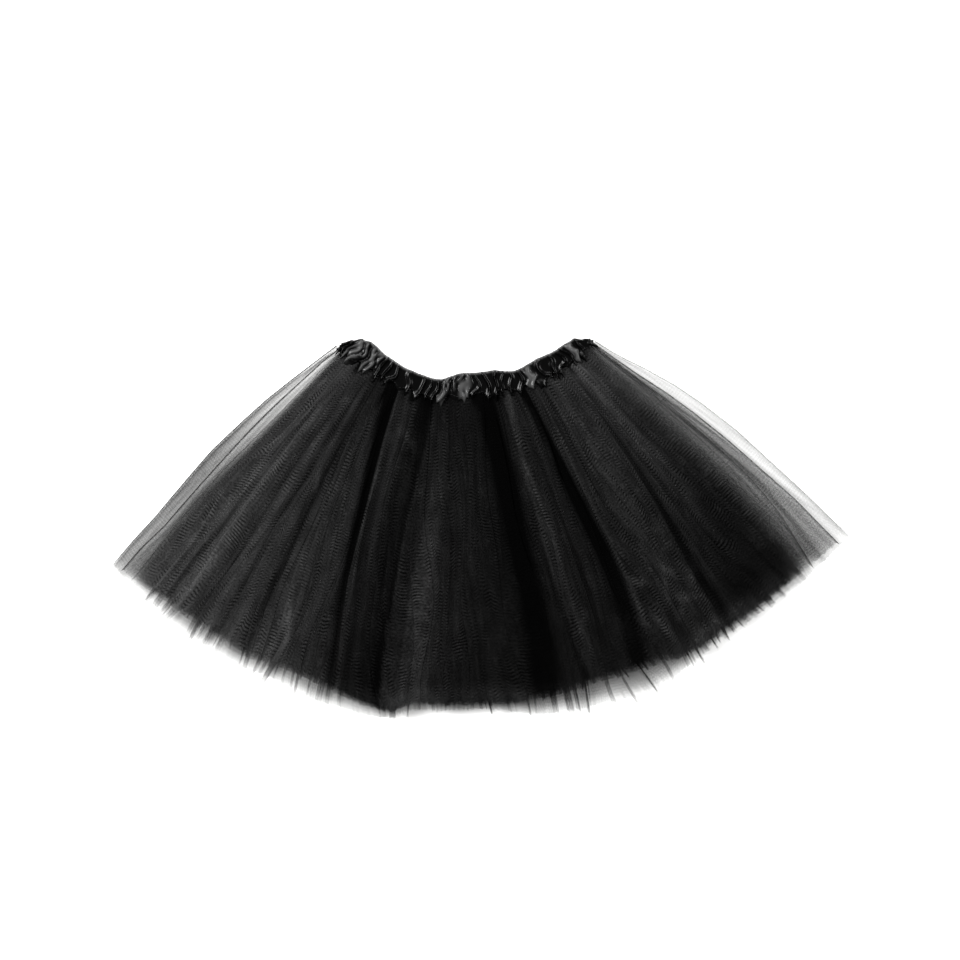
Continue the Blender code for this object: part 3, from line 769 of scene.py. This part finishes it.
def waves(rng, count, along, across):
    """A smooth uneven field over the band, about -1 to 1: along and across are wave lengths."""
    terms = [
        (
            2 * math.pi / along * rng.uniform(0.6, 1.7),
            2 * math.pi / across * rng.uniform(-1.5, 1.5),
            rng.uniform(0, 2 * math.pi),
        )
        for _ in range(count)
    ]
    return lambda u, v: sum(np.sin(a * u + b * v + c) for a, b, c in terms) / math.sqrt(count)


def along_band(deg):
    """How far along the band an angle lies from its left end."""
    return math.radians(deg - BAND_LEFT) * BAND_RADIUS


def gather_edges(rng, length):
    """Where the gathers' valleys lie along the band, and how smooth each gather is."""
    edges, smooth = [0.0], []
    while edges[-1] < length:
        width = GATHER_WIDTHS[len(smooth) % len(GATHER_WIDTHS)] * rng.uniform(0.8, 1.15)
        if edges[-1] < along_band(BUNCHED_LEFT):
            width = BUNCHED_WIDTH * rng.uniform(0.7, 1.3)
        is_smooth = 0.0
        for patch in SMOOTH_PATCHES:
            ahead = along_band(patch.deg) - patch.width / 2 - edges[-1]
            if abs(ahead) <= NEAR_PATCH:
                width, is_smooth = patch.width, 1.0
            elif NEAR_PATCH < ahead < width + NEAR_PATCH:
                width = ahead
        edges.append(edges[-1] + width)
        smooth.append(is_smooth)
    return np.array(edges), np.array(smooth)


def gathers(rng, length):
    """A function of places along and down the band: how high the satin stands and how pale its painted sheen
    is.
    """
    edges, smooth = gather_edges(rng, length)
    heights = rng.uniform(0.55, 1.0, len(smooth))
    sway = waves(rng, 5, 60.0, 1.3)
    hook = waves(rng, 4, 26.0, 4.0)
    dent = waves(rng, 6, 9.0, 0.9)
    fine = waves(rng, 5, 3.0, 1.1)

    def satin(u, v):
        bunched = ease((along_band(BUNCHED_LEFT) + 4 - u) / 6)
        slant = (SLANT + BUNCHED_SLANT * bunched) * sway(u, v)
        hooked = (HOOK + HOOK_VARIES * hook(u, 0 * v)) * ease((v - 0.4) / 0.6) ** 2
        u = u + slant + hooked
        index = np.clip(np.searchsorted(edges, u, "right") - 1, 0, len(smooth) - 1)
        share = (u - edges[index]) / (edges[index + 1] - edges[index])
        side = np.abs(2 * np.clip(share, 0, 1) - 1)
        # Most gathers are narrow ridges with low satin between them, and a few are full puffs.
        pinched = 0.06 * (1 - side**2) + 0.94 * np.exp(-((side / SHARP_GATHER) ** 2))
        flat_top = 0.85 * (1 - side**ROUND_GATHER)
        stands = mix(pinched, flat_top, smooth[index]) * heights[index]
        rough = mix(PINCHED_DENT, SMOOTH_DENT, smooth[index]) * dent(u, v) + FINE_DENT * fine(u, v)
        # A smooth gather gets a pale painted sheen, in patches that follow its dents.
        patchy = ease(0.5 + 0.6 * dent(u, v) + 0.5 * hook(u, v))
        painted_puff_sheen = PUFF_PAINTED_SHEEN * smooth[index] * ease((1 - side) / 0.5) * patchy
        return np.clip(stands + rough, 0, 1.1), painted_puff_sheen

    return satin


def band_profile():
    """Places round the casing's section: how far down it, and on the outer (1) or inner side."""
    outer = [(0.5 - 0.5 * math.cos(math.pi * i / 30)) for i in range(31)]
    inner = [0.5 + 0.5 * math.cos(math.pi * i / 8) for i in range(1, 8)]
    return [(v, 1) for v in outer] + [(v, -1) for v in inner]


def band_stations():
    """Round the flat ring: angle, height of the wall's middle, its outward way, front share."""
    turn = math.degrees(BAND_TURN_RADIUS / BAND_RADIUS)
    half = BAND_WALL / 2
    degs = np.linspace(BAND_LEFT + turn, BAND_RIGHT - turn, BAND_STATIONS)
    bends = np.linspace(0, math.pi, 16)[1:-1]
    stations = [(deg, half + 2 * BAND_TURN_RADIUS, (0.0, 1.0), 1.0) for deg in degs]
    for a in bends:
        deg = BAND_RIGHT - turn + turn * math.sin(a)
        z = half + BAND_TURN_RADIUS * (1 + math.cos(a))
        stations.append((deg, z, (math.sin(a), math.cos(a)), 0.5 + 0.5 * math.cos(a)))
    stations += [(deg, half, (0.0, -1.0), 0.0) for deg in degs[::-2]]
    for a in bends:
        deg = BAND_LEFT + turn - turn * math.sin(a)
        z = half + BAND_TURN_RADIUS * (1 - math.cos(a))
        stations.append((deg, z, (-math.sin(a), -math.cos(a)), 0.5 - 0.5 * math.cos(a)))
    return stations


def waistband(rng):
    """The satin casing, a flat ring rounded over at both its edges, and its seam's points."""
    length = along_band(BAND_RIGHT)
    front_satin, back_satin = gathers(rng, length), gathers(rng, length)
    half = BAND_WALL / 2
    to_deg = math.degrees(1.0 / BAND_RADIUS)
    downs = np.array([v for v, _ in band_profile()])
    outward = np.array([side for _, side in band_profile()])
    rim = np.clip(np.minimum(downs / TOP_RIM, (1 - downs) / LOW_RIM), 0, 1)
    rim = rim * (2 - rim)
    pucker = waves(rng, 5, 16.0, 50.0)
    rows, painted_sheens = [], []
    for deg, z, normal, front in band_stations():
        u = np.full_like(downs, along_band(deg))
        (front_stands, front_painted_puff_sheen), (back_stands, back_painted_puff_sheen) = front_satin(u, downs), back_satin(u, downs)
        stands = mix(back_stands, front_stands, front)
        # A thin pale line along the top edge, where the satin turns over, is a painted highlight.
        uneven = 0.75 + 0.25 * pucker(3 * u, downs)
        painted_edge_highlight = EDGE_PAINTED_HIGHLIGHT * np.exp(-((downs / EDGE_LINE) ** 2)) * uneven
        painted_puff_sheen = mix(back_painted_puff_sheen, front_painted_puff_sheen, front) * ease(downs / 0.12) * ease((1 - downs) / 0.1)
        painted_sheens.append(np.where(outward > 0, np.maximum(painted_puff_sheen, painted_edge_highlight), 0.0))
        # The elastic's top edge stays nearly straight.
        stands = mix(0.55, stands, 0.2 + 0.8 * ease(downs / 0.1))
        proud = GATHER_STANDS * front
        out = np.where(outward > 0, half + proud - GATHER_DEPTH * (1 - stands), INNER_INSET - half)
        # The elastic holds the top edge up, so that it catches the light all along.
        edge_high = np.where(downs < 0.5, mix(RIM_DEPTH, TOP_EDGE_HIGH, front), RIM_DEPTH)
        offset = mix(edge_high, out, rim)
        radius = mix(band_top(deg), band_bottom(deg), downs)
        edge = stands - MEAN_STANDS
        drawn = TOP_DRAWN * edge * (1 - downs) ** 4
        pushed = (LOW_PUSHED * edge + LOW_OUT + LOW_PUCKER * pucker(u, downs)) * downs**5
        radius = radius - drawn + pushed
        rows.append(fan_points(deg + offset * normal[0] * to_deg, radius, z + offset * normal[1]))
    place = int(np.argmin(np.abs(downs - SEAM_PLACE) + (outward < 0)))
    seam = np.array([row[place] for row in rows[:BAND_STATIONS]])
    rows.append(rows[0])
    painted_sheens.append(painted_sheens[0])
    along = np.arange(len(rows)) * STATION_CLOTH
    around = np.cumsum(np.abs(np.diff(downs, append=downs[0])) * BAND_HEIGHT)
    band = tube_object("waistband_satin", rows, np.concatenate([[0.0], around]), along)
    paint(band, "glow", painted_sheens)
    return band, seam


# ---------------------------------------------------------------- the casing's stitches

STITCH_SPACING = 3.2
STITCH_LENGTH = 2.4
THREAD_RADIUS = 0.2


def stitch_tree():
    """Stitches one after another along a chain of edges, each a slim ball of 30 faces."""
    tree = bpy.data.node_groups.new("stitches along a seam", "GeometryNodeTree")
    sockets = (
        ("Seam", "INPUT", "NodeSocketGeometry"),
        ("Spacing", "INPUT", "NodeSocketFloat"),
        ("Half length", "INPUT", "NodeSocketFloat"),
        ("Thread radius", "INPUT", "NodeSocketFloat"),
        ("Seed", "INPUT", "NodeSocketInt"),
        ("Thread", "INPUT", "NodeSocketMaterial"),
        ("Stitches", "OUTPUT", "NodeSocketGeometry"),
    )
    for name, way, kind in sockets:
        tree.interface.new_socket(name, in_out=way, socket_type=kind)
    given = add(tree, "NodeGroupInput").outputs
    path = add(tree, "GeometryNodeMeshToCurve", inputs={"Mesh": given["Seam"]}).outputs["Curve"]
    places = add(
        tree, "GeometryNodeResampleCurve", {"mode": "LENGTH"},
        {"Curve": path, "Length": given["Spacing"]},
    ).outputs["Curve"]
    ball = add(
        tree, "GeometryNodeMeshUVSphere", inputs={"Segments": 6, "Rings": 5, "Radius": 1.0}
    ).outputs["Mesh"]
    radius = given["Thread radius"]
    size = add(
        tree, "ShaderNodeCombineXYZ", inputs={"X": radius, "Y": radius, "Z": given["Half length"]}
    ).outputs[0]
    uneven = add(
        tree, "FunctionNodeRandomValue", {"data_type": "FLOAT_VECTOR"},
        {0: (0.85, 0.85, 0.8), 1: (1.1, 1.1, 1.15), 8: given["Seed"]},
    ).outputs[0]
    scale = add(tree, "ShaderNodeVectorMath", {"operation": "MULTIPLY"}, {0: size, 1: uneven}).outputs[0]
    tangent = add(tree, "GeometryNodeInputTangent").outputs[0]
    turn = add(tree, "FunctionNodeAlignRotationToVector", {"axis": "Z"}, {"Vector": tangent}).outputs[0]
    stitches = add(
        tree, "GeometryNodeInstanceOnPoints",
        inputs={"Points": places, "Instance": ball, "Rotation": turn, "Scale": scale},
    ).outputs[0]
    solid = add(tree, "GeometryNodeRealizeInstances", inputs={"Geometry": stitches}).outputs[0]
    dressed = add(
        tree, "GeometryNodeSetMaterial", inputs={"Geometry": solid, "Material": given["Thread"]}
    ).outputs[0]
    add(tree, "NodeGroupOutput", inputs={"Stitches": dressed})
    return tree


def stitch_line(name, points, thread):
    """The stitches along a line of points, as a plain mesh."""
    chain = bpy.data.meshes.new("seam")
    chain.from_pydata(points.tolist(), [(i, i + 1) for i in range(len(points) - 1)], [])
    carrier = bpy.data.objects.new("seam", chain)
    bpy.context.scene.collection.objects.link(carrier)
    modifier = carrier.modifiers.new("stitches", "NODES")
    modifier.node_group = stitch_tree()
    inputs = {
        "Spacing": STITCH_SPACING * MM,
        "Half length": STITCH_LENGTH / 2 * MM,
        "Thread radius": THREAD_RADIUS * MM,
        "Seed": 5,
        "Thread": thread,
    }
    for socket in modifier.node_group.interface.items_tree:
        if socket.name in inputs:
            modifier[socket.identifier] = inputs[socket.name]
    evaluated = carrier.evaluated_get(bpy.context.evaluated_depsgraph_get())
    mesh = bpy.data.meshes.new_from_object(evaluated)
    carrier.modifiers.remove(modifier)
    bpy.data.objects.remove(carrier)
    mesh.polygons.foreach_set("use_smooth", np.ones(len(mesh.polygons), bool))
    obj = bpy.data.objects.new(name, mesh)
    bpy.context.scene.collection.objects.link(obj)
    return obj


# ---------------------------------------------------------------- materials


def srgb(code):
    """An sRGB hex colour as linear RGBA."""
    parts = [int(code[i : i + 2], 16) / 255 for i in (1, 3, 5)]
    linear = [c / 12.92 if c <= 0.04045 else ((c + 0.055) / 1.055) ** 2.4 for c in parts]
    return (*linear, 1.0)


def add(tree, kind, settings=None, inputs=None):
    """Adds a node, sets its properties, and sets or links its inputs."""
    node = tree.nodes.new(kind)
    for name, value in (settings or {}).items():
        setattr(node, name, value)
    for name, value in (inputs or {}).items():
        if isinstance(value, bpy.types.NodeSocket):
            tree.links.new(value, node.inputs[name])
        else:
            node.inputs[name].default_value = value
    return node


def new_material(name):
    material = bpy.data.materials.new(name)
    material.use_nodes = True
    tree = material.node_tree
    return material, tree, tree.nodes["Principled BSDF"]


NET_PITCH = 2.7  # real holes are 1.2 mm across; drawn coarser so that they show
LADDER_PITCH = 3.0  # rows of holes that catch the light, drawn coarser in the same way
THREAD_FILL, HOLE_FILL = 0.3, 0.9  # how unlike thread and hole look, and how filled a hole is
PAINTED_SHADING_STEP = 0.25  # how much of the way to its lightest colour a painted shading of 1 is

MATH, SPREAD = "ShaderNodeMath", "ShaderNodeMapRange"
PLUS, TIMES, TIMES_PLUS = ({"operation": name} for name in ("ADD", "MULTIPLY", "MULTIPLY_ADD"))

# Each ply's net: its lightest colour, darker for each ply further in as painted shade, its holes against
# NET_PITCH, and how grainy it looks.
Knit = namedtuple("Knit", "colour holes grainy")
KNITS = (Knit("#424242", 1.0, 0.3), Knit("#363636", 1.04, 0.9), Knit("#2c2c2c", 1.08, 0.9))


def nylon_tulle(name, knit):
    """Black nylon tulle: fine filament, warp-knitted to hexagonal holes and stiffened.

    A single ply is a grey veil, and every ply behind it makes it darker. It is matt, and where
    plies cross, their holes show as rows of short bars.
    """
    material, tree, shader = new_material(name)
    pitch, grainy = NET_PITCH * knit.holes, knit.grainy

    def result(kind, settings, *values):
        """The first output of a new node that is given its inputs in order."""
        return add(tree, kind, settings, dict(enumerate(values))).outputs[0]

    def noise(size, detail, *limits):
        """Smooth noise with patches of a size in millimetres.

        Its limits say which range of it is spread over which other range. Without them the
        noise comes as it is, as a value and as a colour.
        """
        place = add(
            tree, "ShaderNodeMapping", {"vector_type": "TEXTURE"},
            {"Vector": uv, "Scale": (size[0] * MM, size[1] * MM, 1.0)},
        ).outputs[0]
        field = add(tree, "ShaderNodeTexNoise", inputs={"Vector": place, "Scale": 1.0, "Detail": detail})
        return result(SPREAD, {}, field.outputs["Fac"], *limits) if limits else field.outputs

    def wave(direction, length, shift=0.0):
        """A cosine across the cloth, of a length in millimetres."""
        turns = 2 * math.pi / (length * MM)
        along = (direction[0] * turns, direction[1] * turns, 0.0)
        across = add(tree, "ShaderNodeVectorMath", {"operation": "DOT_PRODUCT"}, {0: cloth, 1: along})
        shifted = result(MATH, PLUS, across.outputs["Value"], shift)
        return result(MATH, {"operation": "COSINE"}, shifted)

    uv = add(tree, "ShaderNodeUVMap", {"uv_map": "cloth"}).outputs["UV"]
    cover = add(tree, "ShaderNodeAttribute", {"attribute_name": "cover"}).outputs["Fac"]
    # The next attribute is painted light and shade: darker in creases and dips, lighter on ridges, ripples
    # and near the hem. It sets how far the base colour goes towards its lightest.
    tone = add(tree, "ShaderNodeAttribute", {"attribute_name": "tone"}).outputs["Fac"]
    # The net is pulled about by up to 4 mm, so that its rows of holes run unevenly.
    warp = add(
        tree, "ShaderNodeVectorMath", {"operation": "SCALE"},
        {0: noise((28.0, 28.0), 2.0)["Color"], "Scale": 4.0 * MM},
    ).outputs[0]
    cloth = result("ShaderNodeVectorMath", PLUS, uv, warp)
    # Three crossed waves make the net's hexagonal holes.
    total = result(MATH, PLUS, wave((1.3, 0.5), pitch), wave((1.3, -0.5), pitch))
    total = result(MATH, PLUS, total, wave((0.0, 1.0), pitch))
    thread = result(SPREAD, {"interpolation_type": "SMOOTHSTEP"}, total, 1.2, -0.6)
    # The holes glint and gather unevenly, so the net looks grainy.
    grain = noise((1.8, 2.0), 1.0, 0.3, 0.7, 0.65, 1.35)
    filled = result(MATH, TIMES_PLUS, thread, THREAD_FILL, HOLE_FILL)
    filled = result(MATH, TIMES, filled, result(MATH, TIMES_PLUS, grain, grainy, 1 - grainy))
    alpha = result(MATH, TIMES, cover, filled)
    tree.links.new(result(MATH, {"operation": "MINIMUM"}, alpha, 0.98), shader.inputs["Alpha"])
    # Where plies cross at a slight angle, rows of holes show as patches of short bars.
    patch = noise((5.0, 34.0), 2.0, 0.46, 0.6, 0.0, 0.95)
    tilt = result(MATH, TIMES, noise((12.0, 60.0), 1.0)["Fac"], 26.0)
    rungs = wave((0.1, 1.0), LADDER_PITCH, tilt)
    ladder = result(MATH, TIMES, patch, rungs)
    # Long streaks down the skirt, where the gathers pull the net, and softer mottling.
    streak = noise((7.0, 90.0), 3.0, 0.32, 0.68, 0.78, 1.22)
    mottle = noise((16.0, 24.0), 3.0, 0.3, 0.7, 0.7, 1.3)
    # Fine creases, painted lighter as a painted highlight: the narrow band of values at the middle of a
    # noise, in some places only.
    line = noise((16.0, 34.0), 2.0, 0.0, 1.0, -1.0, 1.0)
    beside = result(MATH, {"operation": "ABSOLUTE"}, line)
    painted_crease_highlight = result(SPREAD, {}, beside, 0.0, 0.05, 0.6, 0.0)
    painted_crease_highlight = result(MATH, TIMES, painted_crease_highlight, noise((40.0, 50.0), 0.0, 0.45, 0.6, 0.0, 1.0))
    uneven = result(MATH, TIMES, result(MATH, TIMES, streak, mottle), grain)
    lit = result(MATH, PLUS, result(MATH, PLUS, ladder, painted_crease_highlight), 1.0)
    lit = result(MATH, TIMES, lit, uneven)
    value = result(MATH, TIMES, lit, result(MATH, TIMES, tone, PAINTED_SHADING_STEP))
    shade = add(
        tree, "ShaderNodeMix", {"data_type": "RGBA", "clamp_factor": True},
        {0: value, 6: srgb("#010101"), 7: srgb(knit.colour)},
    ).outputs[2]
    tree.links.new(shade, shader.inputs["Base Color"])
    shader.inputs["Roughness"].default_value = 0.6
    shader.inputs["Specular IOR Level"].default_value = 0.004
    return material


FLOAT_LONG, FLOAT_WIDE = 3.5, 0.6  # real floats are a tenth as wide; drawn coarser to show


def black_satin():
    """Black polyester satin, woven with long warp floats that lie side by side.

    It is smooth and glossy, with a narrow highlight along every gather and faint fine lines.
    """
    material, tree, shader = new_material("black polyester satin")
    uv = add(tree, "ShaderNodeUVMap", {"uv_map": "cloth"}).outputs["UV"]
    stretch = add(
        tree, "ShaderNodeMapping", {"vector_type": "TEXTURE"},
        {"Vector": uv, "Scale": (FLOAT_LONG * MM, FLOAT_WIDE * MM, 1.0)},
    ).outputs[0]
    floats = add(tree, "ShaderNodeTexNoise", inputs={"Vector": stretch, "Scale": 1.0, "Detail": 2.0})
    bump = add(
        tree, "ShaderNodeBump", {},
        {"Height": floats.outputs["Fac"], "Strength": 0.12, "Distance": 0.0002},
    ).outputs[0]
    tree.links.new(bump, shader.inputs["Normal"])
    rough = add(
        tree, "ShaderNodeMapRange", {},
        {"Value": floats.outputs["Fac"], "To Min": 0.15, "To Max": 0.28},
    ).outputs[0]
    tree.links.new(rough, shader.inputs["Roughness"])
    # The next attribute is painted sheen: a thin painted highlight along the top edge and pale patches on the
    # smooth puffs, which lighten the base colour.
    glow = add(tree, "ShaderNodeAttribute", {"attribute_name": "glow"}).outputs["Fac"]
    shade = add(
        tree, "ShaderNodeMix", {"data_type": "RGBA"}, {0: glow, 6: srgb("#020202"), 7: srgb("#6a6a6a")}
    ).outputs[2]
    tree.links.new(shade, shader.inputs["Base Color"])
    shader.inputs["Specular IOR Level"].default_value = 0.1
    return material


THREAD_TWIST = 500.0  # puts one turn of the twist about every 1.3 mm


def sewing_thread():
    """Black polyester sewing thread, spun and twisted, so it is a little shiny and finely ribbed."""
    material, tree, shader = new_material("black polyester thread")
    place = add(tree, "ShaderNodeTexCoord").outputs["Object"]
    twist = add(
        tree, "ShaderNodeTexWave", {"bands_direction": "DIAGONAL"},
        {"Vector": place, "Scale": THREAD_TWIST},
    ).outputs["Fac"]
    bump = add(
        tree, "ShaderNodeBump", {}, {"Height": twist, "Strength": 0.5, "Distance": 0.0001}
    ).outputs[0]
    tree.links.new(bump, shader.inputs["Normal"])
    shader.inputs["Base Color"].default_value = srgb("#0c0c0c")
    shader.inputs["Roughness"].default_value = 0.45
    shader.inputs["Specular IOR Level"].default_value = 0.2
    return material


def main():
    rng = np.random.default_rng(7)
    for index, ply in enumerate(PLIES):
        net, width = tulle_ply(index, rng)
        net.data.materials.append(nylon_tulle("nylon " + ply.name, KNITS[index]))
        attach(net, "root")
        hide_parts(ply.name)
    band, seam = waistband(rng)
    band.data.materials.append(black_satin())
    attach(band, "root")
    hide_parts("waistband")
    stitches = stitch_line("waistband_stitches", seam, sewing_thread())
    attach(stitches, "root")


main()

# ---------------------------------------------------------------- the studio

FLOOR_HALF = 6.0  # metres, so that the floor fills the view
FLOOR_LOW = -0.5 * MM  # just below the skirt, which rests at 0
CAMERA_PLACE = (-0.9 * MM, 42.3 * MM, 3.0)  # from here it looks straight down
ROOM_LIGHT = 0.25
Softbox = namedtuple("Softbox", "name place size power")  # in metres and watts
SOFTBOXES = (
    Softbox("key softbox", (-2.0, 0.9, 1.7), (1.0, 1.0), 138.0),
    Softbox("fill softbox", (1.9, 1.1, 1.9), (1.2, 1.2), 81.0),
    Softbox("strip softbox", (-0.3, 2.0, 1.9), (2.4, 0.4), 60.0),
)


def lay_floor():
    floor_mesh = bpy.data.meshes.new("floor")
    ends = (-FLOOR_HALF, FLOOR_HALF)
    corners = [(x, y, FLOOR_LOW) for y in ends for x in ends]
    floor_mesh.from_pydata(corners, [], [(0, 1, 3, 2)])
    floor = bpy.data.objects.new("floor", floor_mesh)
    bpy.context.scene.collection.objects.link(floor)
    # Matt white paper scatters the light evenly and shows no glare.
    material, _, shader = new_material("matt white paper")
    shader.inputs["Base Color"].default_value = srgb("#f7f7f6")
    shader.inputs["Roughness"].default_value = 0.9
    shader.inputs["Specular IOR Level"].default_value = 0.1
    floor_mesh.materials.append(material)


def light_studio():
    world = bpy.data.worlds.new("studio")
    world.use_nodes = True
    background = world.node_tree.nodes["Background"]
    background.inputs["Color"].default_value = (1, 1, 1, 1)
    background.inputs["Strength"].default_value = ROOM_LIGHT
    bpy.context.scene.world = world
    for box in SOFTBOXES:
        light = bpy.data.lights.new(box.name, "AREA")
        light.shape = "RECTANGLE"
        light.size, light.size_y = box.size
        light.energy = box.power
        obj = bpy.data.objects.new(box.name, light)
        obj.location = box.place
        # It points at the middle of the skirt.
        obj.rotation_euler = (-obj.location).to_track_quat("-Z", "Y").to_euler()
        bpy.context.scene.collection.objects.link(obj)


def hang_camera():
    camera = bpy.data.cameras.new("camera")
    camera.lens = 125.0
    camera.sensor_width = 36.0
    camera.clip_end = 50.0
    obj = bpy.data.objects.new("camera", camera)
    obj.location = CAMERA_PLACE
    obj.rotation_euler = (0.0, 0.0, 0.0)
    bpy.context.scene.collection.objects.link(obj)
    bpy.context.scene.camera = obj
    bpy.context.scene.view_settings.view_transform = "Standard"
    # Light crosses up to six layers of net on its way down and six on its way back.
    bpy.context.scene.cycles.transparent_max_bounces = 16


lay_floor()
light_studio()
hang_camera()
